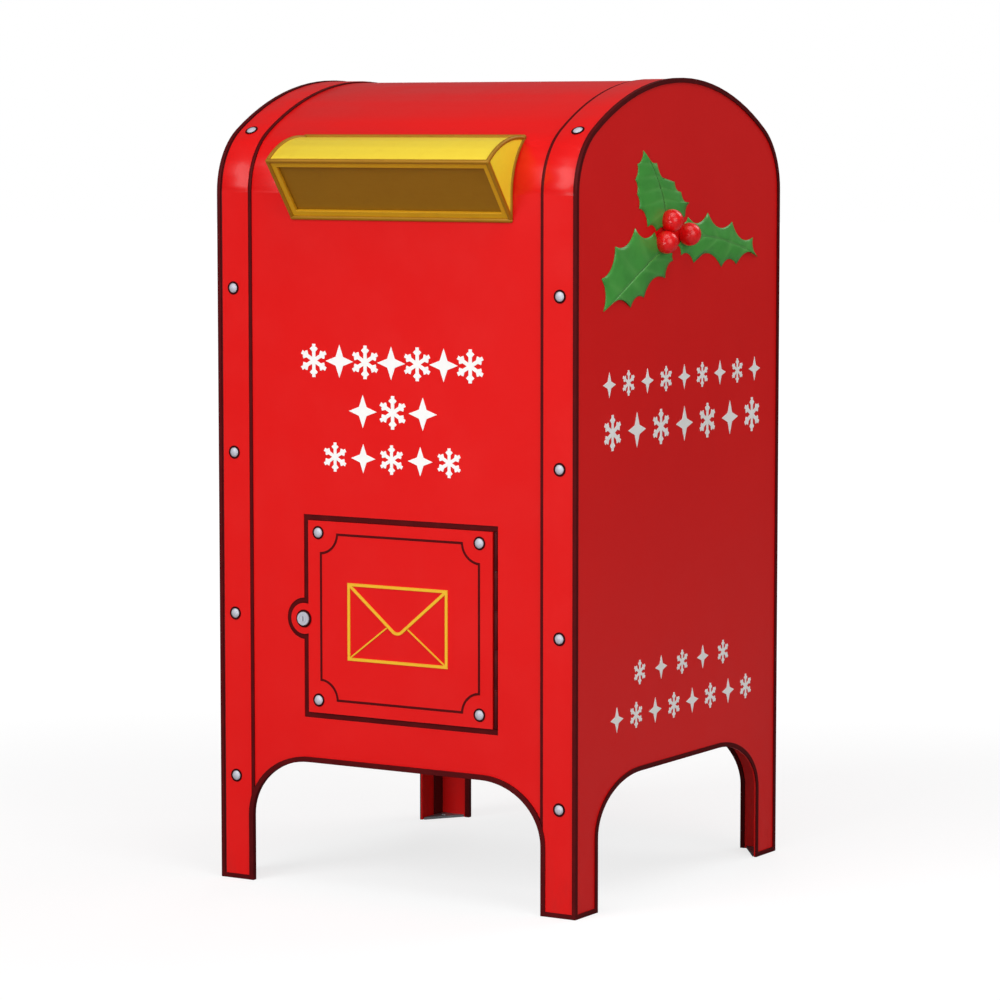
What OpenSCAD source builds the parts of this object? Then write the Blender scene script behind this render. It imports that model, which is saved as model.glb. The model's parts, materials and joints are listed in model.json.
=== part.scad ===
// Free-standing sheet-steel letter box on four legs.
// +Z up, origin on the ground at the centre of the four anchor holes, front face towards -Y.

/* [Cabinet] */
// Overall width over the edge trims
width = 620; // [560:5:680]
// Overall depth over the edge trims
depth = 620; // [560:5:680]
// Overall height
height = 1200; // [1150:5:1300]
// Height where the straight sides end and the barrel top begins
spring_z = 1032; // [990:2:1060]
// Radius of the tight arcs at the ends of the barrel top
haunch_r = 110; // [90:5:130]
// Thickness of the sheet steel
sheet = 2.5; // [2:0.5:3]
// Width of the riveted corner bands
band_w = 53; // [45:1:60]
// Visible width of the dark edge trims
trim_w = 7; // [5:0.5:10]

/* [Legs] */
// Top of the front and back arches
arch_f_top = 192; // [170:2:210]
// Width of a leg seen from the side
leg_side = 65; // [55:1:80]
// Top of the side arches
arch_s_top = 189; // [170:2:210]
// Radius of an anchor hole
anchor_r = 5.5; // [4:0.5:7]

/* [Door] */
// Left edge of the door leaf
door_x0 = -150; // [-160:1:-140]
// Right edge of the door leaf
door_x1 = 170; // [160:1:180]
// Bottom edge of the door leaf
door_z0 = 264; // [250:1:270]
// Top edge of the door leaf
door_z1 = 550; // [530:1:560]
// Gap round the door leaf
door_gap = 8; // [6:0.5:10]
// Radius of the lock ear on the door leaf
ear_r = 23; // [20:1:26]
// Radius of the door hinge barrel
knuckle_r = 3.3; // [3:0.1:3.6]

/* [Letter slot] */
// Left end of the hood
hood_x0 = -177; // [-190:1:-170]
// Right end of the hood
hood_x1 = 201; // [190:1:210]
// Height of the lower edge of the mouth
mouth_z0 = 996; // [985:1:1005]
// Height of the upper edge of the mouth
mouth_z1 = 1079; // [1070:1:1085]
// How far the upper edge stands out from the front sheet
mouth_out = 64; // [55:1:70]
// Width of the mouth rim
rim_w = 12; // [8:1:14]

/* [Fasteners] */
// Radius of a rivet head
rivet_head_r = 7.2; // [6:0.1:8]
// Radius of the sealing washer under a rivet head
rivet_washer_r = 9.9; // [8:0.1:10.5]

/* [Hidden] */
$fn = 96;
hw = width / 2;
hd = depth / 2;
rise = height - spring_z;
crown_r = ((hd - haunch_r) * (hd - haunch_r) / (rise - haunch_r) + haunch_r + rise) / 2;
crown_z = height - crown_r;
haunch_y = hd - haunch_r;
cap = 1.5;                       // trim thickness over the bands
o_band = cap;                    // offsets inward from the outermost outline
o_wrap = cap + sheet;
o_in = cap + 2 * sheet;
xs1 = hw - 2;                    // outer face of a side plate
xs0 = xs1 - sheet;               // its inner face
xw = xs0 - sheet;                // half width of the wrap sheet, inside the band webs
xb = xs1 - band_w;               // inner edge of a corner band, 255
yf = -(hd - o_wrap);             // front face of the wrap, -306
yi = yf + sheet;                 // its inner face, -303.5
back_split = 960;
red = [0.86, 0.11, 0.10];
maroon = [0.29, 0.05, 0.06];
gold = [0.92, 0.69, 0.18];
brass_c = [0.90, 0.76, 0.24];
zinc = [0.78, 0.79, 0.85];
steel = [0.55, 0.56, 0.58];

// ---------- outlines ----------
module ex(x0, x1) { translate([x0, 0, 0]) rotate([90, 0, 90]) linear_extrude(height = x1 - x0) children(); }
module ey(y0, y1) { translate([0, y1, 0]) rotate([90, 0, 0]) linear_extrude(height = y1 - y0) children(); }
module rect(x0, y0, x1, y1) { translate([x0, y0]) square([x1 - x0, y1 - y0]); }
module mirx(m) { if (m) mirror([1, 0, 0]) children(); else children(); }
module miry(m) { if (m) mirror([0, 1, 0]) children(); else children(); }

// side view of the cabinet, offset inward by o: straight sides and a three-centred top
module barrel(o) {
  k = 3;
  union() {
    rect(-(hd - o), 0, hd - o, spring_z);
    for (s = [-1, 1]) translate([s * haunch_y, spring_z]) circle(r = haunch_r - o);
    intersection() {
      translate([0, crown_z]) circle(r = crown_r - o);
      polygon([[0, crown_z], [haunch_y * k, crown_z + (spring_z - crown_z) * k],
        [0, crown_z + (spring_z - crown_z) * k * 1.2], [-haunch_y * k, crown_z + (spring_z - crown_z) * k]]);
    }
  }
}
module ring(a, b) { difference() { barrel(a); barrel(b); } }

// arch between two legs: half span w, top t, corner w_c by t_c, grown by d
function arch_pts(w, t, wc, tc, d, n = 18) = concat(
  [[-(w + d), -20], [w + d, -20]],
  [for (i = [0:n]) [(w - wc) + (wc + d) * cos(90 * i / n), (t - tc) + (tc + d) * sin(90 * i / n)]],
  [for (i = [0:n]) [-(w - wc) - (wc + d) * sin(90 * i / n), (t - tc) + (tc + d) * cos(90 * i / n)]]);
module arch_f(d) { polygon(arch_pts(xb, arch_f_top, 105, 92, d)); }
module arch_s(d) { polygon(arch_pts(hd - leg_side, arch_s_top, 125, 80, d)); }

// ---------- door outlines ----------
lock_x = -158;
lock_z = 403;
open_x0 = door_x0 - door_gap - 1;
open_x1 = door_x1 + door_gap;
open_z0 = door_z0 - door_gap - 0.5;
open_z1 = door_z1 + door_gap + 0.5;
module opening(d) {
  union() {
    rect(open_x0 - d, open_z0 - d, open_x1 + d, open_z1 + d);
    translate([lock_x, lock_z]) circle(r = ear_r + door_gap + d);
  }
}
module leaf(d) {
  union() {
    rect(door_x0 - d, door_z0 - d, door_x1 + d, door_z1 + d);
    translate([lock_x, lock_z]) circle(r = ear_r + d);
  }
}
bolt_x = [-132, 148];
bolt_z = [283, 532.5];
hinge_x = door_x1 + door_gap / 2;
hinge_y = -304.2;
yd = yf - 2;                     // front face of the door leaf
yj = -292.5;                     // front face of the stop flange

// ---------- hood geometry in the side view ----------
mb = [yf, mouth_z0];
mt = [yf - mouth_out, mouth_z1];
ml = norm(mt - mb);
td = (mt - mb) / ml;             // up the mouth
sd = [td[1], -td[0]];            // into the mouth
function ms(t, s) = mb + t * td + s * sd;
hr_z = 1112;                     // where the hood's top meets the haunch
hr = [-haunch_y - sqrt(pow(haunch_r - o_wrap, 2) - pow(hr_z - spring_z, 2)), hr_z];
hc = norm(hr - mt);
hs = 12;                         // bulge of the hood's top
hood_r = (hc * hc / 4 + hs * hs) / (2 * hs);
hn = [-(hr[1] - mt[1]), hr[0] - mt[0]] / hc;
hood_c = (hr + mt) / 2 - hn * (hood_r - hs);
pivot = ms(93.5, 10);
module mouth_poly(t0, t1, s0, s1) { polygon([ms(t0, s0), ms(t1, s0), ms(t1, s1), ms(t0, s1)]); }
module hood_outer(s0) {
  difference() {
    intersection() {
      translate(hood_c) circle(r = hood_r);
      mouth_poly(-60, 180, s0, 200);
      rect(-420, mouth_z0 - 20, -haunch_y, 1160);
    }
    barrel(o_wrap);
  }
}
module hood_tongue(o0, o1, z0, z1) { intersection() { ring(o0, o1); rect(-330, z0, -haunch_y - 20, z1); } }
screw_at = [[-291.5, 1024], [-272, 1078]];

// ---------- fastener positions: [y, z, angle of the outward normal] ----------
front_z = [157, 403, 645, 890];
rb = haunch_r - o_band;
pa = 123;
flat_pos = [for (z = front_z) [-(hd - o_band), z, 180]];
arc_pos = [-haunch_y + rb * cos(pa), spring_z + rb * sin(pa), pa];
function back_of(p) = [-p[0], p[1], 180 - p[2]];
rivet_pos = concat(flat_pos, [arc_pos], [back_of(arc_pos)], [for (p = flat_pos) back_of(p)]);
rivet_x = 282;
module at(p, x) { translate([x, p[0], p[1]]) rotate([p[2] - 90, 0, 0]) children(); }
module rivet_holes() { for (p = rivet_pos) at(p, rivet_x) translate([0, 0, -12]) cylinder(r = 3.15, h = 20, $fn = 32); }
module dome(r, h, z) {
  q = (r * r + h * h) / (2 * h);
  rotate_extrude() intersection() { translate([0, z + h - q]) circle(r = q); rect(0, z, r, z + h); }
}
module rivet() {
  union() {
    dome(rivet_head_r, 2.3, 0.8);
    translate([0, 0, -5.6]) cylinder(r = 3, h = 7, $fn = 32);
    translate([0, 0, -7.65]) cylinder(r = 5, h = 2.5, $fn = 32);
  }
}
module washer(ro, ri, h) { difference() { cylinder(r = ro, h = h, $fn = 48); translate([0, 0, -1]) cylinder(r = ri, h = h + 2, $fn = 32); } }
seam_x = [for (i = [-3:3]) i * 80];
seam_z = [back_split - 12, back_split + 12];
module seam_at() { for (x = seam_x, z = seam_z) translate([x, hd - o_wrap, z]) rotate([-90, 0, 0]) children(); }

// ---------- cabinet ----------
module side_plate(m) color(red) mirx(m) ex(xs0, xs1) difference() { barrel(o_wrap); arch_s(0); }
module side_plate_left() side_plate(true);
module side_plate_right() side_plate(false);

module corner_band(m) color(red) mirx(m) difference() {
  union() {
    ex(xb, xs1) ring(o_band, o_wrap);
    ex(xw, xs0) ring(o_wrap, o_wrap + 26);
  }
  rivet_holes();
}
module corner_band_left() corner_band(true);
module corner_band_right() corner_band(false);

module wrap_sheet() color(red) difference() {
  ex(-xw, xw) difference() { ring(o_wrap, o_in); rect(0, -1, hd + 1, back_split + 1); }
  ey(-hd - 20, -haunch_y) arch_f(0);
  ey(-hd - 20, -haunch_y) opening(0);
  ex(hood_x0, hood_x1) rect(-hd - 20, 1001, -haunch_y - 20, 1106);
  for (m = [false, true]) mirx(m) rivet_holes();
  seam_at() translate([0, 0, -12]) cylinder(r = 2.1, h = 20, $fn = 24);
}

module back_panel() color(red) difference() {
  translate([-xw, hd - o_in, 0]) cube([2 * xw, sheet, back_split - 1]);
  ey(haunch_y, hd + 20) arch_f(0);
  for (m = [false, true]) mirx(m) rivet_holes();
  seam_at() translate([0, 0, -12]) cylinder(r = 2.1, h = 20, $fn = 24);
}
module back_seam_strip() color(red) difference() {
  translate([-xw + 20, hd - o_in - sheet, back_split - 22]) cube([2 * xw - 40, sheet, 44]);
  for (m = [false, true]) mirx(m) for (p = rivet_pos) at(p, rivet_x) translate([0, 0, -14]) cylinder(r = 6, h = 10, $fn = 24);
  seam_at() translate([0, 0, -12]) cylinder(r = 2.1, h = 20, $fn = 24);
}
module back_seam_rivets() color(zinc) seam_at() union() {
  dome(4.5, 2, 0);
  translate([0, 0, -6]) cylinder(r = 2, h = 6.5, $fn = 24);
  translate([0, 0, -7]) cylinder(r = 3.5, h = 2, $fn = 24);
}

module edge_trim(m) color(maroon) mirx(m) union() {
  ex(xs1, hw) difference() {
    difference() { barrel(0); arch_s(0); }
    difference() { intersection() { barrel(trim_w); rect(-hd, trim_w, hd, height); } arch_s(trim_w); }
  }
  ex(xs1 - 4, xs1 + 0.5) ring(0, cap);
  for (s = [false, true]) miry(s) translate([xb + 4, -hd, 0]) cube([xs1 - xb - 4 + 0.5, cap, trim_w]);
}
module edge_trim_left() edge_trim(true);
module edge_trim_right() edge_trim(false);

module arch_trim() color(maroon) difference() {
  ey(-hd, yi + 1.5) intersection() { difference() { arch_f(4); arch_f(-3.5); } rect(-hw, 0, hw, 260); }
  ey(-hd + cap, yi) difference() { union() { rect(-hw, -30, -xb, 400); rect(xb, -30, hw, 400); } arch_f(0); }
  ey(yf, yi) difference() { rect(-hw, -30, hw, 400); arch_f(0); }
}
module arch_trim_front() arch_trim();
module arch_trim_back() mirror([0, 1, 0]) arch_trim();

module seam_bead(m) color(maroon) mirx(m) difference() {
  ex(xb - 5.2, xb) ring(o_band + 0.5, o_wrap);
  for (s = [false, true]) miry(s) ey(-hd - 20, -haunch_y) arch_f(4);
}
module seam_bead_left() seam_bead(true);
module seam_bead_right() seam_bead(false);

module band_rivets(m) color(zinc) mirx(m) for (p = rivet_pos) at(p, rivet_x) rivet();
module band_rivets_left() band_rivets(true);
module band_rivets_right() band_rivets(false);
module rivet_washers(m) color(maroon) mirx(m) for (p = rivet_pos) at(p, rivet_x) washer(rivet_washer_r, 3.15, 0.8);
module rivet_washers_left() rivet_washers(true);
module rivet_washers_right() rivet_washers(false);

module floor_pan() color(steel) difference() {
  translate([-xw, yi, 215]) cube([2 * xw, -2 * yi, 22]);
  translate([-xw + 2, yi + 2, 217]) cube([2 * xw - 4, -2 * yi - 4, 30]);
}
module foot_plates() color(steel) for (mx = [false, true], my = [false, true]) mirx(mx) miry(my) difference() {
  linear_extrude(height = 4) polygon([[xw, yi], [xw - 41, yi], [xw, yi + 57]]);
  translate([xw - 14, yi + 20, -1]) cylinder(r = anchor_r, h = 8, $fn = 48);
}

// ---------- door frame ----------
stop_x0 = -136;
stop_x1 = 154;
stop_z0 = 283;
stop_z1 = 531;
module stop_hole(d) {
  union() {
    rect(stop_x0 + d, stop_z0 + d, stop_x1 - d, stop_z1 - d);
    rect(lock_x - 15, lock_z - 15, stop_x0 + d + 5, lock_z + 15);
  }
}
module door_frame() color(steel) difference() {
  union() {
    ey(yi, yi + 2) difference() { opening(17); opening(0); }
    ey(yi, yj + 2) difference() { opening(2); opening(0); }
    ey(yj, yj + 2) difference() { opening(2); stop_hole(0); }
  }
  for (z = hinge_rivet_z) translate([open_x1 - 2, -299, z]) rotate([0, 90, 0]) cylinder(r = 1.6, h = 8, $fn = 24);
}
module door_gasket() color(maroon) difference() {
  union() {
    ey(yf + 1, yj) difference() { opening(0); leaf(0.5); }
    ey(yj - 3.2, yj) difference() { opening(0); stop_hole(-2); }
  }
  translate([door_x1 - 0.5, -320, door_z0 - 0.5]) cube([20, 24.2, door_z1 - door_z0 + 1]);
}
module strike_plate() color(zinc) translate([open_x0, yj + 2, 358]) cube([stop_x0 - open_x0 - 2, 2, 28]);

// ---------- door ----------
module door_panel() color(red) difference() {
  union() {
    ey(yd, yd + sheet) leaf(0);
    difference() {
      ey(yd + sheet - 0.5, -296) difference() { rect(door_x0, door_z0, door_x1, door_z1); rect(door_x0 + 2, door_z0 + 2, door_x1 - 2, door_z1 - 2); }
      translate([door_x0 - 5, -305.5, lock_z - 27]) cube([12, 20, 54]);
    }
  }
  for (x = bolt_x, z = bolt_z) translate([x, -330, z]) rotate([-90, 0, 0]) cylinder(r = 2.6, h = 60, $fn = 24);
  translate([lock_x, -330, lock_z]) rotate([-90, 0, 0]) cylinder(r = 9.1, h = 60, $fn = 64);
  for (z = hinge_rivet_z) translate([door_x1 - 6, -299, z]) rotate([0, 90, 0]) cylinder(r = 1.6, h = 10, $fn = 24);
}
pan_x0 = -144;
pan_x1 = 162;
pan_z0 = 270;
pan_z1 = 544;
module pan_rect(d) rect(pan_x0 + d, pan_z0 + d, pan_x1 - d, pan_z1 - d);
module door_inner_pan() color(steel) difference() {
  union() {
    ey(yd + sheet, yd + sheet + 2) difference() { pan_rect(0); pan_rect(26); }
    ey(yd + sheet, yd + sheet + 8) difference() { pan_rect(24); pan_rect(26); }
    ey(yd + sheet + 6, yd + sheet + 8) pan_rect(25);
  }
  for (x = bolt_x, z = bolt_z) translate([x, -330, z]) rotate([-90, 0, 0]) cylinder(r = 2.6, h = 60, $fn = 24);
}
module at_bolts() for (x = bolt_x, z = bolt_z) translate([x, yd, z]) rotate([90, 0, 0]) children();
module door_bolts() color(zinc) at_bolts() union() {
  dome(7.4, 2.3, 0.8);
  translate([0, 0, -10]) cylinder(r = 2.5, h = 11.5, $fn = 32);
}
module door_bolt_washers() color(maroon) at_bolts() washer(9.9, 2.6, 0.8);
module door_bolt_nuts() color(zinc) at_bolts() translate([0, 0, -8.5]) difference() {
  cylinder(r = 4.6, h = 4, $fn = 6);
  translate([0, 0, -1]) cylinder(r = 2.5, h = 6, $fn = 32);
}
module border2(d) difference() {
  rect(-129 + d, 283 + d, 149 - d, 533 - d);
  for (x = [-129, 149], z = [283, 533]) translate([x, z]) circle(r = 29 + d);
}
module door_border() color(maroon) ey(yd - 0.6, yd) difference() { border2(0); border2(3.5); }

// ---------- envelope emblem ----------
ev_x0 = -80;
ev_x1 = 94;
ev_z0 = 346;
ev_z1 = 461;
ev_xc = (ev_x0 + ev_x1) / 2;
ev_zt = 389;
module bar(a, b, w) {
  l = norm(b - a);
  d = (b - a) / l;
  n = [-d[1], d[0]] * w / 2;
  polygon([a + n, a - n, b - n, b + n]);
}
tip_r = 14;
tip_c = [ev_xc, ev_zt + tip_r];
flap_a = atan2(ev_z1 - 3 - tip_c[1] + 8, ev_x1 - 3 - ev_xc - 8);
module ev_side() {
  n = [cos(flap_a - 90), sin(flap_a - 90)];
  bar(tip_c + n * (tip_r - 2.25), [ev_x1 - 3, ev_z1 - 3], 4.5);
}
module envelope_emblem() color(gold) union() {
  y0 = yd - 1.2;
  ey(y0, yd) difference() { rect(ev_x0, ev_z0, ev_x1, ev_z1); rect(ev_x0 + 4.5, ev_z0 + 4.5, ev_x1 - 4.5, ev_z1 - 4.5); }
  ey(y0, yd) ev_side();
  ey(y0, yd) translate([2 * ev_xc, 0]) mirror([1, 0]) ev_side();
  difference() {
    ey(y0, yd) translate(tip_c) circle(r = tip_r);
    ey(y0 - 1, yd + 1) translate(tip_c) circle(r = tip_r - 4.5);
    ey(y0 - 1, yd + 1) polygon([tip_c, tip_c + 40 * [cos(flap_a - 90), sin(flap_a - 90)], tip_c + [60, 60], tip_c + [-60, 60], tip_c + 40 * [-cos(flap_a - 90), sin(flap_a - 90)]]);
  }
  ey(y0, yd) bar([ev_xc + 18, ev_zt + 10], [ev_x1 - 3, ev_z0 + 3], 2.2);
  ey(y0, yd) bar([ev_xc - 18, ev_zt + 10], [ev_x0 + 3, ev_z0 + 3], 2.2);
}

// ---------- hinge ----------
kn = 5;
kl = (door_z1 - door_z0) / kn;
hinge_rivet_z = [for (i = [0:3]) door_z0 + 40 + i * (door_z1 - door_z0 - 80) / 3];
module hinge_leaf(fixed) {
  s = fixed ? 1 : -1;
  x0 = fixed ? hinge_x + 2.1 : door_x1;
  x1 = fixed ? open_x1 : hinge_x - 2.1;
  difference() {
    union() {
      for (i = [0:kn - 1]) if ((i % 2 == 0) == fixed)
        translate([hinge_x, hinge_y, door_z0 + i * kl + 0.25]) cylinder(r = knuckle_r, h = kl - 0.5, $fn = 48);
      difference() {
        translate([x0, hinge_y, door_z0 + 0.25]) cube([x1 - x0, -296 - hinge_y, door_z1 - door_z0 - 0.5]);
        for (i = [0:kn - 1]) if ((i % 2 == 0) != fixed)
          translate([hinge_x, hinge_y, door_z0 + i * kl - 0.25]) cylinder(r = knuckle_r + 0.5, h = kl + 0.5, $fn = 48);
      }
    }
    translate([hinge_x, hinge_y, door_z0 - 5]) cylinder(r = fixed ? 1.25 : 1.3, h = 400, $fn = 48);
    for (z = hinge_rivet_z) translate([x0 - 1, -299, z]) rotate([0, 90, 0]) cylinder(r = 1.6, h = x1 - x0 + 2, $fn = 24);
  }
}
module hinge_fixed_leaf() color(maroon) hinge_leaf(true);
module hinge_door_leaf() color(maroon) hinge_leaf(false);
module hinge_pin() color(steel) translate([hinge_x, hinge_y, door_z0 + 0.25]) cylinder(r = 1.25, h = door_z1 - door_z0 - 0.5, $fn = 48);
module hinge_rivets_frame() color(zinc) for (z = hinge_rivet_z) translate([hinge_x + 2.1, -299, z]) rotate([0, 90, 0]) union() {
  cylinder(r = 1.5, h = open_x1 + 2 - hinge_x - 2.1 + 0.5, $fn = 24);
  translate([0, 0, open_x1 + 2 - hinge_x - 2.1]) cylinder(r = 2.3, h = 1.5, $fn = 24);
}
module hinge_rivets_door() color(zinc) for (z = hinge_rivet_z) translate([hinge_x - 2.1, -299, z]) rotate([0, -90, 0]) union() {
  cylinder(r = 1.5, h = hinge_x - 2.1 - door_x1 + 2 + 0.5, $fn = 24);
  translate([0, 0, hinge_x - 2.1 - door_x1 + 2]) cylinder(r = 2.6, h = 1.5, $fn = 24);
}

// ---------- lock ----------
module lock_at() translate([lock_x, 0, lock_z]) children();
module turn(y0, y1) { translate([0, y0, 0]) rotate([-90, 0, 0]) linear_extrude(height = y1 - y0) children(); }
module lock_body() color(zinc) lock_at() difference() {
  union() {
    turn(yd - 3.7, yd - 1.2) circle(r = 10);
    turn(yd - 1.5, -288) circle(r = 9);
  }
  turn(yd - 10, -280) circle(r = 6);
}
module lock_bezel() color(maroon) lock_at() turn(yd - 1.2, yd) difference() { circle(r = 13.3); circle(r = 9); }
module lock_nut() color(zinc) lock_at() turn(yd + sheet, yd + sheet + 5) difference() { circle(r = 12.5, $fn = 6); circle(r = 9); }
module lock_plug() color(zinc) lock_at() difference() {
  union() {
    turn(yd - 3.7, -288) circle(r = 5.95);
    turn(-288.5, -285.2) circle(r = 4);
  }
  turn(yd - 5, yd + 8) rect(-0.8, -3.4, 0.8, 3.4);
  turn(-297, -280) circle(r = 1.6);
}
module lock_cam() color(steel) lock_at() turn(-287.7, -285.2) difference() {
  union() { circle(r = 8); rect(0, -8, 34, 8); }
  circle(r = 4);
}
module cam_screw() color(zinc) lock_at() union() {
  turn(-296, -285) circle(r = 1.6);
  turn(-285.2, -283) circle(r = 5);
}

// ---------- letter slot ----------
module slot_hood() color(brass_c) difference() {
  union() {
    difference() {
      ex(hood_x0, hood_x1) hood_outer(5);
      ex(hood_x0 + 4, hood_x1 - 4) translate(hood_c) circle(r = hood_r - 4);
    }
    for (x = [hood_x0, hood_x1 - 4]) ex(x, x + 4) difference() { hood_tongue(o_wrap - 1, o_wrap + 24, 1001, 1106); mouth_poly(-60, 180, -200, 5); }
  }
  ex(hood_x0 + 1.5, hood_x1 - 1.5) translate(pivot) circle(r = 2.5, $fn = 48);
  for (p = screw_at) ex(hood_x0 - 5, hood_x1 + 5) translate(p) circle(r = 2, $fn = 32);
}
module mouth_rim() color([0.68, 0.49, 0.1]) difference() {
  ex(hood_x0, hood_x1) difference() {
    intersection() { mouth_poly(-5, ml + 5, 0, 5); translate(hood_c) circle(r = hood_r); }
    barrel(o_wrap);
  }
  ex(hood_x0 + rim_w, hood_x1 - rim_w) mouth_poly(rim_w, ml - rim_w, -5, 10);
}
module hood_bracket2(o1, z0, z1) hood_tongue(o_in, o1, z0, z1);
module hood_brackets() color(steel) {
  difference() {
    union() {
      ex(hood_x0 - 2.5, hood_x0) hood_tongue(o_in, o_wrap + 24, 1010, 1098);
      ex(hood_x0 - 18, hood_x0) hood_tongue(o_in, o_in + 2.5, 1010, 1098);
    }
    for (p = screw_at) ex(hood_x0 - 30, hood_x0 + 5) translate(p) circle(r = 2, $fn = 32);
  }
  difference() {
    union() {
      ex(hood_x1, hood_x1 + 2.5) hood_tongue(o_in, o_wrap + 24, 1010, 1098);
      ex(hood_x1, hood_x1 + 18) hood_tongue(o_in, o_in + 2.5, 1010, 1098);
    }
    for (p = screw_at) ex(hood_x1 - 5, hood_x1 + 30) translate(p) circle(r = 2, $fn = 32);
  }
}
module hood_screws() color(zinc) for (p = screw_at) {
  union() { ex(hood_x0 - 3, hood_x0 + 4) translate(p) circle(r = 2, $fn = 32); ex(hood_x0 - 5, hood_x0 - 2.5) translate(p) circle(r = 3.6, $fn = 32); }
  union() { ex(hood_x1 - 4, hood_x1 + 3) translate(p) circle(r = 2, $fn = 32); ex(hood_x1 + 2.5, hood_x1 + 5) translate(p) circle(r = 3.6, $fn = 32); }
}
module flap_pin() color(steel) ex(hood_x0 + 1.5, hood_x1 - 1.5) translate(pivot) circle(r = 2.5, $fn = 48);
module letter_flap() color([0.48, 0.32, 0.07]) difference() {
  union() {
    ex(hood_x0 + 9, hood_x1 - 9) mouth_poly(10, 92, 5.3, 7.3);
    ex(hood_x0 + 9, hood_x1 - 9) translate(pivot) circle(r = 4.4, $fn = 64);
  }
  ex(hood_x0 - 9, hood_x1 + 9) translate(pivot) circle(r = 2.55, $fn = 64);
}
module letter_chute() color(steel) ex(hood_x0 + 10, hood_x1 - 10) union() {
  rect(yi, 962, yi + 2, 999);
  polygon([[yi, 962], [yi, 959.5], [-190, 893], [-190, 895.5], [yi + 2, 962]]);
}
module anti_fishing_baffle() color(steel) ex(hood_x0 + 10, hood_x1 - 10) union() {
  intersection() { ring(o_in, o_in + 2); rect(-170, 1100, -135, 1250); }
  difference() { rect(-170, 1050, -168, 1190); difference() { rect(-180, 1000, -100, 1300); barrel(o_in); } }
}

// ---------- generic decorations ----------
function leaf_edge(s, n, d) = pow(sin(180 * pow(s, 0.8)), 0.7) * (1 - d * sin(180 * (n * s - floor(n * s))));
function leaf_pts(a, b, w, n, m) = let (l = b - a) concat(
  [for (i = [0:m]) let (s = i / m) a + l * s + w * leaf_edge(s, n, 0.36)],
  [for (i = [m - 1:-1:1]) let (s = i / m) a + l * s - w * leaf_edge(s, n, 0.36)]);
berry_r = 17;                    // radius of a berry ball
berry_h = 28;                    // how far it stands out of the side plate
berries = [[-50, 992], [-66, 961], [4, 971]];
module holly_leaves() color([0.22, 0.49, 0.2]) difference() {
  ex(xs1, xs1 + 1) {
    polygon(leaf_pts([-33, 986], [-113, 1093], [74, -8], 5, 50));
    polygon(leaf_pts([8, 964], [240, 930], [-14, 41], 5, 50));
    polygon(leaf_pts([-44, 950], [-231, 866], [-36, 36], 5, 50));
  }
  for (b = berries) translate([xs1 - 5, b[0], b[1]]) rotate([0, 90, 0]) cylinder(r = berry_r - 0.6, h = 20);
}
module holly_berries() color([0.8, 0.1, 0.08]) for (b = berries) translate([xs1, b[0], b[1]]) rotate([0, 90, 0])
  rotate_extrude() intersection() { translate([0, berry_h - berry_r]) circle(r = berry_r); rect(0, 0, berry_r + 1, berry_h + 1); }

// simple star and snow-crystal shapes, h high
module star4(h) polygon([for (i = [0:7]) let (r = i % 2 == 0 ? h / 2 : h * 0.19) [r * sin(45 * i), r * cos(45 * i)]]);
module star8(h) polygon([for (i = [0:15]) let (r = i % 2 == 0 ? h / 2 : h * 0.3) [r * sin(22.5 * i), r * cos(22.5 * i)]]);
module crystal(h) union() {
  for (a = [0, 60, 120]) rotate(a) square([h * 0.12, h], center = true);
  for (a = [0:60:300]) rotate(a) for (s = [-1, 1]) translate([0, h * 0.27]) rotate(s * 45) translate([0, h * 0.07]) square([h * 0.09, h * 0.18], center = true);
}
module ornament(k, h) { if (k == 0) star4(h); else if (k == 1) crystal(h); else star8(h * 0.8); }
module row_of(x0, x1, z0, z1, n, k0) {
  h = z1 - z0;
  for (i = [0:n - 1]) translate([x0 + h / 2 + (x1 - x0 - h) * i / (n - 1), (z0 + z1) / 2]) ornament((i + k0) % 2, h);
}
module front_ornaments() color("white") ey(yf - 0.6, yf) {
  row_of(-164, 156, 762, 811, 7, 1);
  row_of(-78, 75, 690, 739, 3, 0);
  row_of(-124, 117, 624, 667, 5, 1);
}
module side_ornaments() color("white") ex(xs1, xs1 + 0.6) {
  row_of(-232, 250, 742, 779, 9, 0);
  row_of(-230, 250, 665, 717, 7, 1);
  row_of(-140, 153, 317, 353, 5, 1);
  row_of(-208, 228, 254, 292, 8, 0);
}

side_plate_left();
side_plate_right();
corner_band_left();
corner_band_right();
wrap_sheet();
back_panel();
back_seam_strip();
back_seam_rivets();
edge_trim_left();
edge_trim_right();
arch_trim_front();
arch_trim_back();
seam_bead_left();
seam_bead_right();
band_rivets_left();
band_rivets_right();
rivet_washers_left();
rivet_washers_right();
floor_pan();
foot_plates();
door_frame();
door_gasket();
strike_plate();
door_panel();
door_inner_pan();
door_bolts();
door_bolt_washers();
door_bolt_nuts();
door_border();
envelope_emblem();
hinge_fixed_leaf();
hinge_door_leaf();
hinge_pin();
hinge_rivets_frame();
hinge_rivets_door();
lock_body();
lock_bezel();
lock_nut();
lock_plug();
lock_cam();
cam_screw();
slot_hood();
mouth_rim();
hood_brackets();
hood_screws();
flap_pin();
letter_flap();
letter_chute();
anti_fishing_baffle();
holly_leaves();
holly_berries();
front_ornaments();
side_ornaments();
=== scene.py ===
import bpy, bmesh, json, math
from mathutils import Vector, Matrix


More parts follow.
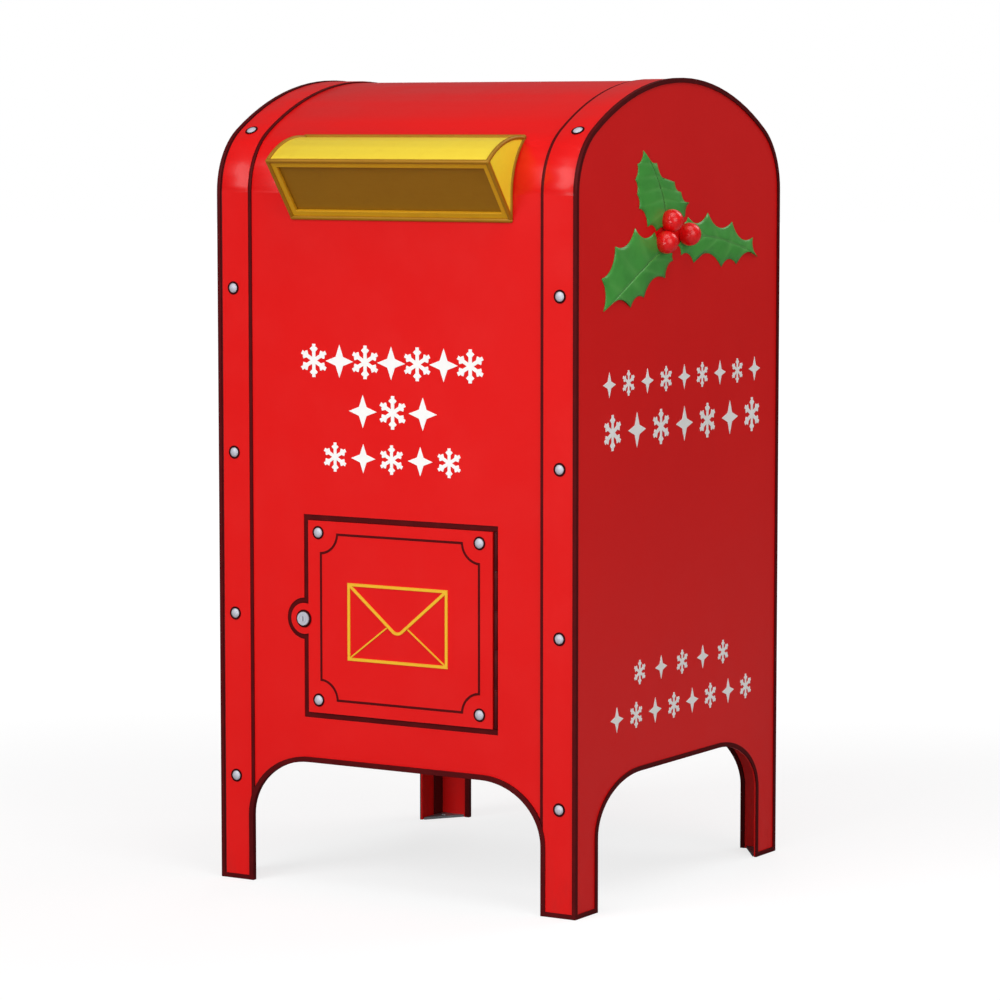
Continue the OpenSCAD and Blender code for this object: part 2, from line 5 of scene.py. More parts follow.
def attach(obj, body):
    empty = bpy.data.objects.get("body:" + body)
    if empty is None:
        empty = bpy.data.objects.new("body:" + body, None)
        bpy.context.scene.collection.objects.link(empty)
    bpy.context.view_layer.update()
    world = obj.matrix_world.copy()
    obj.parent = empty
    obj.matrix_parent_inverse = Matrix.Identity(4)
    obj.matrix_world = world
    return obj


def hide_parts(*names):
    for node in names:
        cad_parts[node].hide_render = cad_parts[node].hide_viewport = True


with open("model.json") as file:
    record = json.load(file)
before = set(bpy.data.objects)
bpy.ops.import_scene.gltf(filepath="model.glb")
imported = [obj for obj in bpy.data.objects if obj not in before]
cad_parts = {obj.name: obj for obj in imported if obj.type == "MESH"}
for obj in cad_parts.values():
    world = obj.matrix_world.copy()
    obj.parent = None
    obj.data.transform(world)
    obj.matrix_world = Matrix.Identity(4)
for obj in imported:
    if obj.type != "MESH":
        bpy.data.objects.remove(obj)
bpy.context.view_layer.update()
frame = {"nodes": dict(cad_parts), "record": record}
NODES = frame["nodes"]
scene = bpy.context.scene


# ------------------------------------------------------------------ node helpers
class G:
    """Small helper that adds nodes to one material."""

    def __init__(self, name):
        self.mat = bpy.data.materials.new(name)
        self.mat.use_nodes = True
        self.nt = self.mat.node_tree
        self.nt.nodes.clear()
        self.out = self.nt.nodes.new("ShaderNodeOutputMaterial")
        self.bsdf = self.nt.nodes.new("ShaderNodeBsdfPrincipled")
        self.nt.links.new(self.bsdf.outputs[0], self.out.inputs[0])
        self.tc = self.nt.nodes.new("ShaderNodeTexCoord")
        self.obj = self.tc.outputs["Object"]

    def link(self, a, b):
        self.nt.links.new(a, b)

    def add(self, kind, **props):
        n = self.nt.nodes.new(kind)
        for k, v in props.items():
            setattr(n, k, v)
        return n

    def set(self, **vals):
        for k, v in vals.items():
            self.bsdf.inputs[k.replace("_", " ")].default_value = v

    def noise(self, scale, detail=3.0, rough=0.55, vec=None, stretch=None):
        n = self.add("ShaderNodeTexNoise")
        n.inputs["Scale"].default_value = scale
        n.inputs["Detail"].default_value = detail
        n.inputs["Roughness"].default_value = rough
        src = vec or self.obj
        if stretch:
            m = self.add("ShaderNodeMapping")
            m.inputs["Scale"].default_value = stretch
            self.link(src, m.inputs["Vector"])
            src = m.outputs[0]
        self.link(src, n.inputs["Vector"])
        return n.outputs["Fac"]

    def ramp(self, fac, stops, mode="LINEAR"):
        r = self.add("ShaderNodeValToRGB")
        r.color_ramp.interpolation = mode
        while len(r.color_ramp.elements) < len(stops):
            r.color_ramp.elements.new(0.5)
        for e, (p, c) in zip(r.color_ramp.elements, stops):
            e.position = p
            e.color = c if len(c) == 4 else (*c, 1.0)
        self.link(fac, r.inputs[0])
        return r.outputs[0]

    def band(self, fac, lo, hi, a=0.0, b=1.0):
        """fac mapped smoothly from lo..hi to a..b"""
        m = self.add("ShaderNodeMapRange", interpolation_type="SMOOTHSTEP")
        m.inputs["From Min"].default_value = lo
        m.inputs["From Max"].default_value = hi
        m.inputs["To Min"].default_value = a
        m.inputs["To Max"].default_value = b
        self.link(fac, m.inputs["Value"])
        return m.outputs["Result"]

    def math(self, op, a, b=None, c=None):
        n = self.add("ShaderNodeMath", operation=op)
        for i, v in enumerate((a, b, c)):
            if v is None:
                continue
            if isinstance(v, (int, float)):
                n.inputs[i].default_value = v
            else:
                self.link(v, n.inputs[i])
        return n.outputs[0]

    def mix(self, fac, a, b, blend="MIX"):
        n = self.add("ShaderNodeMix", data_type="RGBA", blend_type=blend)
        n.clamp_factor = True
        for v, s in ((fac, n.inputs["Factor"]), (a, n.inputs["A"]), (b, n.inputs["B"])):
            if isinstance(v, (int, float)):
                s.default_value = v
            elif isinstance(v, (tuple, list)):
                s.default_value = v if len(v) == 4 else (*v, 1.0)
            else:
                self.link(v, s)
        return [o for o in n.outputs if o.type == "RGBA"][0]

    def sep(self, vec=None):
        s = self.add("ShaderNodeSeparateXYZ")
        self.link(vec or self.obj, s.inputs[0])
        return s.outputs

    def bump(self, height, strength, dist, normal=None):
        b = self.add("ShaderNodeBump")
        b.inputs["Strength"].default_value = strength
        b.inputs["Distance"].default_value = dist
        self.link(height, b.inputs["Height"])
        if normal is not None:
            self.link(normal, b.inputs["Normal"])
        return b.outputs[0]

    def edge(self, radius, samples=4):
        """1 on convex or concave edges within radius, 0 on flats"""
        bv = self.add("ShaderNodeBevel", samples=samples)
        bv.inputs["Radius"].default_value = radius
        ge = self.add("ShaderNodeNewGeometry")
        d = self.add("ShaderNodeVectorMath", operation="DOT_PRODUCT")
        self.link(bv.outputs[0], d.inputs[0])
        self.link(ge.outputs["Normal"], d.inputs[1])
        return self.band(d.outputs["Value"], 0.995, 0.86, 0.0, 1.0)

    def color(self, s):
        self.link(s, self.bsdf.inputs["Base Color"])

    def rough(self, s):
        self.link(s, self.bsdf.inputs["Roughness"])

    def normal(self, s):
        self.link(s, self.bsdf.inputs["Normal"])


def lin(r, g, b):
    f = lambda c: ((c / 255 + 0.055) / 1.055) ** 2.4 if c > 10 else c / 255 / 12.92
    return (f(r), f(g), f(b), 1.0)


# ------------------------------------------------------------------ materials
def enamel(name, base, deep, light, rough0=0.34, wear_grime_and_edge_highlight=True, spec=0.26, coat=0.08, peel=0.07, stripe=None):
    """Gloss paint: slight cloudiness, orange peel, faint grime low down, and thin wear on the edges that lightens them,
    partly as a painted edge highlight.
    """
    g = G(name)
    big = g.noise(1.9, 2, 0.5)
    mid = g.noise(14, 3, 0.55)
    fine = g.noise(420, 2, 0.5)
    col = g.mix(g.band(big, 0.32, 0.70), base, deep)
    col = g.mix(g.math("MULTIPLY", g.band(mid, 0.45, 0.80), 0.10), col, light)
    if wear_grime_and_edge_highlight:
        # edges lightened towards the light red in patches: partly wear, partly a painted edge highlight
        e = g.edge(0.0016)
        chips_and_edge_highlight = g.math("MULTIPLY", e, g.band(g.noise(70, 5, 0.7), 0.54, 0.66))
        col = g.mix(g.math("MULTIPLY", chips_and_edge_highlight, 0.35), col, light)
        z = g.sep()[2]
        low = g.math("MULTIPLY", g.band(z, 0.16, 0.0, 0.0, 1.0), g.band(g.noise(30, 5, 0.65, stretch=(1, 1, 0.3)), 0.45, 0.75))
        col = g.mix(g.math("MULTIPLY", low, 0.16), col, lin(120, 30, 24))
    if stripe:
        # a hand-painted dark line beside the edge trim, from the plate's edge inwards
        x = g.math("ADD", g.sep()[0], g.math("MULTIPLY", g.noise(40, 2, 0.5), 0.0003))
        col = g.mix(g.band(x, stripe[1], stripe[1] - 0.0004, 0.0, 1.0), col, lin(74, 6, 8))
    g.color(col)
    r = g.math("ADD", g.band(mid, 0.35, 0.7, rough0, rough0 + 0.06), g.math("MULTIPLY", g.band(fine, 0.3, 0.7), 0.03))
    if wear_grime_and_edge_highlight:
        r = g.math("ADD", r, g.math("MULTIPLY", low, 0.15))
    g.rough(r)
    n = g.bump(g.noise(190, 2, 0.5), peel * 0.5, 0.0008)
    n = g.bump(g.noise(7, 2, 0.5), peel, 0.0016, n)
    g.normal(n)
    g.set(Specular_IOR_Level=spec, Coat_Weight=coat, Coat_Roughness=0.12)
    return g.mat


def rubbery(name, base, light, rough0=0.48, spec=0.10):
    g = G(name)
    a = g.noise(45, 4, 0.6)
    f = g.noise(700, 2, 0.5)
    col = g.mix(g.band(a, 0.42, 0.75), base, light)
    g.color(col)
    g.rough(g.math("ADD", g.band(a, 0.3, 0.7, rough0, rough0 + 0.12), g.math("MULTIPLY", f, 0.05)))
    g.normal(g.bump(f, 0.10, 0.0003))
    g.set(Specular_IOR_Level=spec)
    return g.mat


def metal(name, base, dark, rough0=0.28, metallic=1.0, brush=(1, 1, 1), bscale=240, patina=None, pat=0.0, bump=0.1, spec=0.5, cloudy=1.0):
    g = G(name)
    b = g.noise(bscale, 3, 0.6, stretch=brush)
    cloud = g.noise(13, 4, 0.6)
    col = g.mix(g.math("MULTIPLY", g.band(cloud, 0.42, 0.75), cloudy), base, dark)
    col = g.mix(g.math("MULTIPLY", g.band(b, 0.35, 0.7), 0.14), col, dark)
    if patina:
        e = g.edge(0.0025)
        spots = g.band(g.noise(55, 5, 0.65), 0.52, 0.75)
        col = g.mix(g.math("MULTIPLY", spots, pat), col, patina)
        col = g.mix(g.math("MULTIPLY", e, 0.35), col, patina)
    g.color(col)
    g.rough(g.math("ADD", g.band(cloud, 0.3, 0.7, rough0, rough0 + 0.08), g.math("MULTIPLY", b, 0.10)))
    g.normal(g.bump(b, bump, 0.0003))
    g.set(Metallic=metallic, Specular_IOR_Level=spec)
    return g.mat


def cheek_painted_light(mat, tone):
    """Painted light: the hood's cheeks, whose faces look along X, are painted lighter than its top, as if more strongly
    lit.
    """
    nt = mat.node_tree
    bsdf = next(n for n in nt.nodes if n.type == "BSDF_PRINCIPLED")
    src = bsdf.inputs["Base Color"].links[0].from_socket
    ge = nt.nodes.new("ShaderNodeNewGeometry")
    sx = nt.nodes.new("ShaderNodeSeparateXYZ")
    nt.links.new(ge.outputs["Normal"], sx.inputs[0])
    ab = nt.nodes.new("ShaderNodeMath")
    ab.operation = "ABSOLUTE"
    nt.links.new(sx.outputs[0], ab.inputs[0])
    mr = nt.nodes.new("ShaderNodeMapRange")
    mr.inputs["From Min"].default_value = 0.6
    mr.inputs["From Max"].default_value = 0.95
    nt.links.new(ab.outputs[0], mr.inputs["Value"])
    mx = nt.nodes.new("ShaderNodeMix")
    mx.data_type = "RGBA"
    nt.links.new(mr.outputs[0], mx.inputs["Factor"])
    ins = [i for i in mx.inputs if i.type == "RGBA"]
    nt.links.new(src, ins[0])
    noise = nt.nodes.new("ShaderNodeTexNoise")
    noise.inputs["Scale"].default_value = 18
    ramp = nt.nodes.new("ShaderNodeValToRGB")
    ramp.color_ramp.elements[0].color = tone
    ramp.color_ramp.elements[1].color = tuple(c * 0.95 for c in tone[:3]) + (1.0,)
    nt.links.new(noise.outputs["Fac"], ramp.inputs[0])
    nt.links.new(ramp.outputs[0], ins[1])
    nt.links.new([o for o in mx.outputs if o.type == "RGBA"][0], bsdf.inputs["Base Color"])


def leaf_paint(name):
    """Green enamel whose veins, stored on the mesh, are a little lighter."""
    g = G(name)
    at = g.add("ShaderNodeAttribute", attribute_name="vein")
    n1 = g.noise(26, 3, 0.6)
    n2 = g.noise(240, 2, 0.5)
    col = g.mix(g.band(n1, 0.35, 0.72), lin(70, 158, 62), lin(62, 146, 56))
    col = g.mix(g.math("MULTIPLY", at.outputs["Fac"], 0.42), col, lin(116, 190, 96))
    g.color(col)
    g.rough(g.band(n1, 0.3, 0.7, 0.34, 0.44))
    g.normal(g.bump(n2, 0.12, 0.0004))
    g.set(Specular_IOR_Level=0.35, Coat_Weight=0.15, Coat_Roughness=0.15)
    return g.mat


RED = lin(222, 13, 12)
RED_DEEP = lin(217, 11, 11)
RED_LIGHT = lin(230, 30, 26)
M_red = enamel("red_enamel", RED, RED_DEEP, RED_LIGHT)
M_band_left = enamel("band_paint_left", RED, RED_DEEP, RED_LIGHT, stripe=(-0.3042, -0.3012))
M_maroon = rubbery("maroon_trim", lin(78, 5, 8), lin(87, 9, 11))
M_ring = rubbery("washer_rubber", lin(48, 3, 5), lin(58, 5, 7), 0.55, 0.06)
M_maroon_hinge = rubbery("maroon_hinge_paint", lin(68, 6, 9), lin(84, 16, 16), 0.40)
M_zinc = metal("zinc", lin(196, 197, 208), lin(184, 185, 196), 0.42, 0.22, bscale=500, patina=lin(150, 148, 160), pat=0.10, spec=0.35, cloudy=0.6)
M_steel = metal("galvanised", lin(156, 159, 164), lin(122, 125, 131), 0.42, 0.85, bscale=60, patina=lin(104, 100, 96), pat=0.25)
M_brass = metal("brass", lin(250, 220, 62), lin(242, 208, 52), 0.36, 0.22, brush=(0.12, 1, 1), bscale=420, patina=lin(196, 150, 36), pat=0.06, bump=0.06, spec=0.4, cloudy=0.6)
M_rim = metal("aged_brass", lin(222, 166, 22), lin(210, 154, 18), 0.40, 0.25, brush=(0.12, 1, 1), bscale=420, patina=lin(138, 92, 14), pat=0.10, spec=0.35, cloudy=0.6)
M_edge = metal("wired_edge_brass", lin(166, 116, 10), lin(154, 106, 9), 0.40, 0.25, brush=(0.12, 1, 1), bscale=420, patina=lin(116, 78, 12), pat=0.10, spec=0.35, cloudy=0.6)
M_bronze = metal("dark_bronze", lin(154, 107, 12), lin(147, 101, 10), 0.46, 0.20, brush=(0.10, 1, 1), bscale=300, patina=lin(104, 66, 14), pat=0.10, spec=0.3, cloudy=0.5)
M_gold = metal("gold_enamel", lin(246, 190, 44), lin(236, 178, 38), 0.38, 0.15, bscale=300, patina=lin(190, 132, 26), pat=0.06, spec=0.35, cloudy=0.6)
# painted light: brass faces that look along X are made lighter than the top
cheek_painted_light(M_brass, lin(255, 250, 60))
M_green = leaf_paint("holly_green")
M_berry = enamel("berry_red", lin(242, 16, 20), lin(234, 12, 16), lin(248, 40, 40), 0.24, wear_grime_and_edge_highlight=False, spec=0.4, coat=0.25, peel=0.008)
M_white = enamel("white_film", lin(246, 245, 243), lin(238, 237, 234), lin(255, 255, 255), 0.45, wear_grime_and_edge_highlight=False, spec=0.25, coat=0.0, peel=0.04)

SLOT_MAT = {
    "red_enamel": M_red, "maroon_trim": M_maroon, "maroon_hinge": M_maroon_hinge, "zinc": M_zinc, "steel": M_steel,
    "brass": M_brass, "aged_brass": M_rim, "dark_bronze": M_bronze, "gold_enamel": M_gold,
    "holly_green": M_green, "berry_red": M_berry, "white_decal": M_white,
}
slot_of = {s["node"]: s["material_slot"] for s in frame["record"]["subparts"]}

# softened edges, in mm: width of the rounding on each kind of piece
SOFT = {
    "red_enamel": 0.45, "maroon_trim": 0.35, "maroon_hinge": 0.4, "zinc": 0.4, "steel": 0.5, "brass": 0.9, "aged_brass": 0.9,
    "dark_bronze": 0.5, "gold_enamel": 0.45, "white_decal": 0.2,
}

# pieces whose paint or rubber differs from the rest of their slot
OWN_MAT = {
    "rivet_washers_left": M_ring, "rivet_washers_right": M_ring, "door_bolt_washers": M_ring, "lock_bezel": M_ring,
    "corner_band_left": M_band_left,
}

for name, o in NODES.items():
    mat = OWN_MAT.get(name, SLOT_MAT[slot_of[name]])
    o.data.materials.clear()
    o.data.materials.append(mat)
    if slot_of[name] in SOFT:
        w = o.modifiers.new("weld", "WELD")
        w.merge_threshold = 1e-5
        d = o.modifiers.new("flat_faces", "DECIMATE")
        d.decimate_type = "DISSOLVE"
        d.angle_limit = 0.004
        b = o.modifiers.new("soft_edges", "BEVEL")
        b.width = SOFT[slot_of[name]] / 1000
        b.segments = 2
        b.limit_method = "ANGLE"
        b.angle_limit = 0.6
        b.harden_normals = True
        b.use_clamp_overlap = True


# ------------------------------------------------------------------ pieces made here
def mesh_object(name, bm, mat, smooth=True):
    me = bpy.data.meshes.new(name)
    bmesh.ops.recalc_face_normals(bm, faces=bm.faces)
    for f in bm.faces:
        f.smooth = smooth
    bm.to_mesh(me)
    bm.free()
    me.materials.append(mat)
    o = bpy.data.objects.new(name, me)
    scene.collection.objects.link(o)
    return o


def tube(bm, pts, r, seg=14, cap=4):
    """A round bar along pts (mm) with domed ends, as one closed shell."""
    P = [Vector(p) for p in pts]
    T = []
    for i in range(len(P)):
        a = P[i] - P[i - 1] if i else P[1] - P[0]
        b = P[i + 1] - P[i] if i < len(P) - 1 else P[-1] - P[-2]
        T.append((a.normalized() + b.normalized()).normalized())
    up0 = Vector((1, 0, 0)) if abs(T[0].x) < 0.9 else Vector((0, 0, 1))
    n = T[0].cross(up0).normalized()
    rings = []

    def ring(c, t, nn, rad):
        m = t.cross(nn).normalized()
        return [bm.verts.new((c + (nn * math.cos(2 * math.pi * k / seg) + m * math.sin(2 * math.pi * k / seg)) * rad) / 1000) for k in range(seg)]

    for j in range(cap - 1, 0, -1):
        q = math.pi / 2 * j / cap
        rings.append(ring(P[0] - T[0] * r * math.sin(q), T[0], n, r * math.cos(q)))
    for i in range(len(P)):
        n = (n - T[i] * n.dot(T[i])).normalized()
        rings.append(ring(P[i], T[i], n, r))
    for j in range(1, cap):
        q = math.pi / 2 * j / cap
        rings.append(ring(P[-1] + T[-1] * r * math.sin(q), T[-1], n, r * math.cos(q)))
    for A, B in zip(rings, rings[1:]):
        for k in range(seg):
            bm.faces.new((A[k], A[(k + 1) % seg], B[(k + 1) % seg], B[k]))
    s0 = bm.verts.new((P[0] - T[0] * r) / 1000)
    s1 = bm.verts.new((P[-1] + T[-1] * r) / 1000)
    for k in range(seg):
        bm.faces.new((s0, rings[0][(k + 1) % seg], rings[0][k]))
        bm.faces.new((s1, rings[-1][k], rings[-1][(k + 1) % seg]))


# wired edges of the letter hood: straight bars along the mouth and the back, and a loop round each cheek
HX0, HX1 = -177.0, 201.0
MB, MT = Vector((-306, 996)), Vector((-370, 1079))
HR = Vector((-200 - math.sqrt(106 ** 2 - 80 ** 2), 1112))
hc = (HR - MT).length
HRAD = (hc * hc / 4 + 144) / 24
hn = Vector((-(HR.y - MT.y), HR.x - MT.x)) / hc
HC = (HR + MT) / 2 - hn * (HRAD - 12)
BEAD = 3.1


def hood_arc(n=14):
    a0 = math.atan2(MT.y - HC.y, MT.x - HC.x)
    a1 = math.atan2(HR.y - HC.y, HR.x - HC.x)
    return [HC + Vector((math.cos(a0 + (a1 - a0) * i / n), math.sin(a0 + (a1 - a0) * i / n))) * HRAD for i in range(n + 1)]


def body_line(n=12):
    """down the front of the cabinet from the hood's back edge to the foot of the mouth, 1 mm proud"""
    a0 = math.atan2(HR.y - 1032, HR.x + 200)
    out = [Vector((-200 + 107 * math.cos(a0 + (math.pi - a0) * i / n), 1032 + 107 * math.sin(a0 + (math.pi - a0) * i / n))) for i in range(n + 1)]
    return out + [Vector((-307, 1014)), Vector((-307, 996))]


bm = bmesh.new()
for x in (HX0 + 1.2, HX1 - 1.2):
    tube(bm, [(x, p.x, p.y) for p in hood_arc()], BEAD)
    tube(bm, [(x, p.x, p.y) for p in body_line()], BEAD)
    tube(bm, [(x, MB.x + (MT.x - MB.x) * i / 6, MB.y + (MT.y - MB.y) * i / 6) for i in range(7)], BEAD)
for p in (MB + Vector((-1.0, 0.0)), MT, HR + Vector((-1.4, 2.0))):
    tube(bm, [(HX0 + 1.2 + (HX1 - HX0 - 2.4) * i / 12, p.x, p.y) for i in range(13)], BEAD + 0.2)
hood_edges = mesh_object("hood_wired_edges", bm, M_edge)
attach(hood_edges, "cabinet")

# holly: spine tips of each leaf from its stem end round to its point, left side and right side, (y, z) in mm
LEAVES = [
    {"stem": (-52, 978), "point": (-117, 1094), "mid": (-66, 1034),
     "left": [(-77, 977), (-104, 984), (-129, 1011), (-135, 1031), (-141, 1053), (-134, 1075)],
     "right": [(-1, 987), (9, 997), (22, 1017), (-4, 1033), (-24, 1048), (-77, 1076)]},
    {"stem": (-52, 956), "point": (-232, 866), "mid": (-122, 922),
     "left": [(-29, 944), (-27, 933), (-51, 908), (-114, 882), (-153, 869)],
     "right": [(-83, 976), (-141, 983), (-198, 958), (-237, 913)]},
    {"stem": (-4, 966), "point": (239, 931), "mid": (112, 962),
     "left": [(7, 988), (17, 996), (79, 1001), (156, 986), (223, 961)],
     "right": [(-13, 955), (-3, 940), (36, 928), (122, 919), (170, 922)]},
]
FACE = 308.0


def scalloped(pts, centre, per=8, deep=0.20):
    """edge through the tips, hollowed between each two of them towards the middle of the leaf; also where the tips are"""
    out, tips = [], []
    for a, b in zip(pts, pts[1:]):
        A, B = Vector(a), Vector(b)
        n = Vector((-(B - A).y, (B - A).x)).normalized()
        if n.dot(Vector(centre) - (A + B) / 2) < 0:
            n = -n
        d = (B - A).length
        tips.append(len(out))
        for i in range(per):
            t = i / per
            out.append(A + (B - A) * t + n * d * deep * math.sin(math.pi * t) ** 0.8)
    tips.append(len(out))
    out.append(Vector(pts[-1]))
    return out, tips


def resample(pts, n):
    L = [0.0]
    for a, b in zip(pts, pts[1:]):
        L.append(L[-1] + (b - a).length)
    out, j = [], 0
    for i in range(n + 1):
        s = L[-1] * i / n
        while j < len(L) - 2 and L[j + 1] < s:
            j += 1
        t = (s - L[j]) / max(L[j + 1] - L[j], 1e-9)
        out.append(pts[j] + (pts[j + 1] - pts[j]) * t)
    return out


def leaf(bm, spec, K=9):
    stem, point, mid = (Vector(spec[k]) for k in ("stem", "point", "mid"))
    mids = []
    for i in range(61):
        t = i / 60
        mids.append(stem * (1 - t) ** 2 + (mid * 2 - (stem + point) / 2) * 2 * t * (1 - t) + point * t * t)
    vein = bm.verts.layers.float.get("vein") or bm.verts.layers.float.new("vein")
    sides = []
    for key in ("left", "right"):
        pts, tips = scalloped([spec["stem"]] + spec[key] + [spec["point"]], mid)
        sides.append((pts, set(tips[1:-1])))
    N = max(len(s[0]) for s in sides) * 2
    cols = []
    for pts, tips in sides:
        # each edge point keeps its own place; the rib point beside it lies a little nearer to the stem, as side veins do
        cols.append((pts, tips))
    rib_top = {}

    def height(u, v, along):
        edge = 0.7
        dome = 2.9 * (1 - u ** 2.4) * min(1.0, 0.25 + 2.2 * math.sin(math.pi * min(max(along, 0.0), 1.0)) ** 0.7)
        crease = 0.9 * math.exp(-((u / 0.055) ** 2))
        side_vein = 0.55 * v * (1 - u) ** 0.5
        return edge + max(0.0, dome - crease - side_vein)

    for pts, tips in cols:
        n = len(pts)
        rows = []
        for i, e in enumerate(pts):
            t = i / (n - 1)
            rib_t = max(0.0, min(1.0, t ** 1.06))
            m = mids[0] if i == 0 else mids[-1] if i == n - 1 else None
            if m is None:
                q = rib_t * 60
                j = min(int(q), 59)
                m = mids[j] + (mids[j + 1] - mids[j]) * (q - j)
            near = min((abs(i - k) for k in tips), default=9)
            v = math.exp(-((near / 1.1) ** 2))
            row = []
            for k in range(K + 1):
                u = (k / K) ** 1.25
                p = m + (e - m) * u
                row.append((p, height(u, v, t), max(v * (1 - u) * 0.8, math.exp(-((u / 0.05) ** 2)))))
            rows.append(row)
        top, bot = [], []
        for i, row in enumerate(rows):
            if i in (0, n - 1):
                p, h, g = row[-1]
                tv = bm.verts.new(((FACE + 0.7) / 1000, p.x / 1000, p.y / 1000))
                bv = bm.verts.new(((FACE + 0.05) / 1000, p.x / 1000, p.y / 1000))
                top.append([tv] * (K + 1))
                bot.append([bv] * (K + 1))
                continue
            tr, br = [], []
            for p, h, g in row:
                tv = bm.verts.new(((FACE + h) / 1000, p.x / 1000, p.y / 1000))
                tv[vein] = g
                tr.append(tv)
                br.append(bm.verts.new(((FACE + 0.05) / 1000, p.x / 1000, p.y / 1000)))
            top.append(tr)
            bot.append(br)

        def quad(a, b, c, d):
            vs = []
            for x in (a, b, c, d):
                if x not in vs:
                    vs.append(x)
            if len(vs) > 2:
                bm.faces.new(vs)

        for i in range(n - 1):
            for k in range(K):
                quad(top[i][k], top[i][k + 1], top[i + 1][k + 1], top[i + 1][k])
                quad(bot[i][k + 1], bot[i][k], bot[i + 1][k], bot[i + 1][k + 1])
            quad(top[i][K], bot[i][K], bot[i + 1][K], top[i + 1][K])
            quad(bot[i][0], top[i][0], top[i + 1][0], bot[i + 1][0])
        # stitch-free halves: both halves are closed shells that share the rib line
    return bm


bm = bmesh.new()
for spec in LEAVES:
    leaf(bm, spec)
leaves = mesh_object("holly_leaf_relief", bm, M_green)
mod = leaves.modifiers.new("weld", "WELD")
mod.merge_threshold = 1e-5
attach(leaves, "cabinet")
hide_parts("holly_leaves")

# berries: slightly flattened balls seated on the side plate, each with a small dimple at its outer end
bm = bmesh.new()
for (y, z), turn_by in (((-50, 992), 0.3), ((-66, 961), 1.1), ((4, 971), 2.0)):
    R, c = 17.0, 11.0
    seg, rows = 48, 26
    q1 = math.acos(-c / R)
    rings = []
    for j in range(1, rows + 1):
        q = q1 * j / rows
        rad = R * math.sin(q)
        x = FACE + c + R * math.cos(q) - 1.1 * math.exp(-((rad / 2.4) ** 2))
        ringv = []
        for k in range(seg):
            a = 2 * math.pi * k / seg
            rr = rad * (1 + 0.010 * math.sin(2 * (a + turn_by)))
            ringv.append(bm.verts.new((x / 1000, (y + rr * math.cos(a)) / 1000, (z + rr * math.sin(a)) / 1000)))
        rings.append(ringv)
    tip = bm.verts.new(((FACE + c + R - 1.1) / 1000, y / 1000, z / 1000))
    for k in range(seg):
        bm.faces.new((tip, rings[0][k], rings[0][(k + 1) % seg]))
    for A, B in zip(rings, rings[1:]):
        for k in range(seg):
            bm.faces.new((A[k], B[k], B[(k + 1) % seg], A[(k + 1) % seg]))
    bm.faces.new(rings[-1])
berries = mesh_object("holly_berry_balls", bm, M_berry)
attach(berries, "cabinet")
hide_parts("holly_berries")


# ------------------------------------------------------------------ stage: floor, world, lights, camera
def floor():
    g = G("studio_floor")
    d = g.add("ShaderNodeVectorMath", operation="LENGTH")
    g.link(g.obj, d.inputs[0])
    far = g.band(d.outputs["Value"], 0.9, 2.6)
    g.bsdf.inputs["Roughness"].default_value = 0.85
    g.bsdf.inputs["Specular IOR Level"].default_value = 0.1
    lp = g.add("ShaderNodeLightPath")
    seen = lp.outputs["Is Camera Ray"]
    g.color(g.mix(seen, lin(150, 150, 150), g.mix(g.noise(3.0, 4, 0.5), lin(250, 250, 250), lin(246, 246, 247))))
    em = g.add("ShaderNodeEmission")
    em.inputs["Strength"].default_value = 1.07
    em.inputs["Color"].default_value = (1, 1, 1, 1)
    mx = g.add("ShaderNodeMixShader")
    near = g.math("ADD", g.math("MULTIPLY", far, 0.30), 0.70)
    g.link(g.math("MULTIPLY", near, seen), mx.inputs[0])
    g.link(g.bsdf.outputs[0], mx.inputs[1])
    g.link(em.outputs[0], mx.inputs[2])
    g.link(mx.outputs[0], g.out.inputs[0])
    me = bpy.data.meshes.new("floor")
    bm = bmesh.new()
    bmesh.ops.create_circle(bm, cap_ends=True, radius=40, segments=64)
    bm.to_mesh(me)
    bm.free()
    o = bpy.data.objects.new("floor", me)
    o.data.materials.append(g.mat)
    scene.collection.objects.link(o)
    o.location.z = -0.0002


floor()

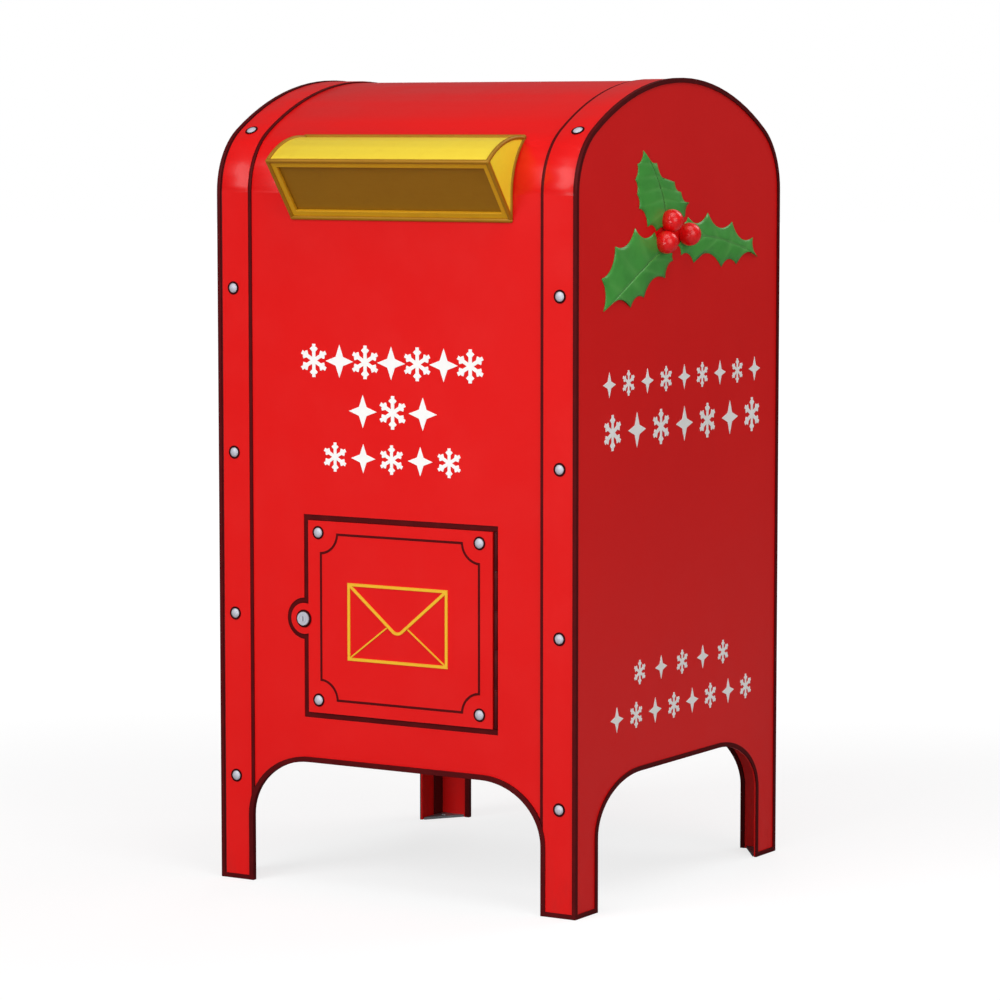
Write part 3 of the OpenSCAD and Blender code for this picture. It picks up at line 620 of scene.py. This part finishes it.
world = bpy.data.worlds.new("studio")
scene.world = world
world.use_nodes = True
wt = world.node_tree
wt.nodes.clear()
wo = wt.nodes.new("ShaderNodeOutputWorld")
bg1 = wt.nodes.new("ShaderNodeBackground")
bg2 = wt.nodes.new("ShaderNodeBackground")
bg1.inputs[0].default_value = (1, 1, 1, 1)
bg1.inputs[1].default_value = 0.17
bg2.inputs[0].default_value = (1, 1, 1, 1)
bg2.inputs[1].default_value = 1.0
lp = wt.nodes.new("ShaderNodeLightPath")
wm = wt.nodes.new("ShaderNodeMixShader")
wt.links.new(lp.outputs["Is Camera Ray"], wm.inputs[0])
wt.links.new(bg1.outputs[0], wm.inputs[1])
wt.links.new(bg2.outputs[0], wm.inputs[2])
wt.links.new(wm.outputs[0], wo.inputs[0])


def area(name, loc, target, size, power, color=(1, 1, 1), sy=None):
    l = bpy.data.lights.new(name, "AREA")
    l.shape = "RECTANGLE"
    l.size = size
    l.size_y = sy or size
    l.energy = power
    l.color = color
    o = bpy.data.objects.new(name, l)
    o.location = loc
    o.rotation_euler = (Vector(target) - Vector(loc)).to_track_quat("-Z", "Y").to_euler()
    scene.collection.objects.link(o)
    return o


area("key", (-1.5, -6.4, 4.5), (0, 0, 0.6), 4.4, 330)
area("fill", (4.6, -2.2, 2.0), (0, 0, 0.6), 3.2, 82)
area("top", (1.5, -1.3, 4.6), (0, -0.1, 0.9), 3.0, 62)
area("back", (2.0, 3.8, 4.3), (0, 0.2, 0.6), 2.8, 70)
area("low", (0.7, -3.4, 0.40), (0, 0, 0.2), 1.8, 22, sy=0.5)
area("rear", (-1.9, 4.2, 0.8), (0, 0, 0.6), 2.0, 40, sy=1.2)

az, el = math.radians(31.51), math.radians(5.59)
back = Vector((math.sin(az) * math.cos(el), -math.cos(az) * math.cos(el), math.sin(el)))
right = Vector((math.cos(az), math.sin(az), 0))
up = back.cross(right)
cam = bpy.data.cameras.new("camera")
cam.lens = 136.76
cam.sensor_width = 36
cam.clip_end = 200
co = bpy.data.objects.new("camera", cam)
co.matrix_world = Matrix(((right.x, up.x, back.x, 3.0098), (right.y, up.y, back.y, -4.9197), (right.z, up.z, back.z, 1.1263), (0, 0, 0, 1)))
scene.collection.objects.link(co)
scene.camera = co
scene.view_settings.view_transform = "Standard"
scene.view_settings.look = "None"
scene.view_settings.exposure = 0.0

# ------------------------------------------------------------------ scene update
bpy.context.view_layer.update()
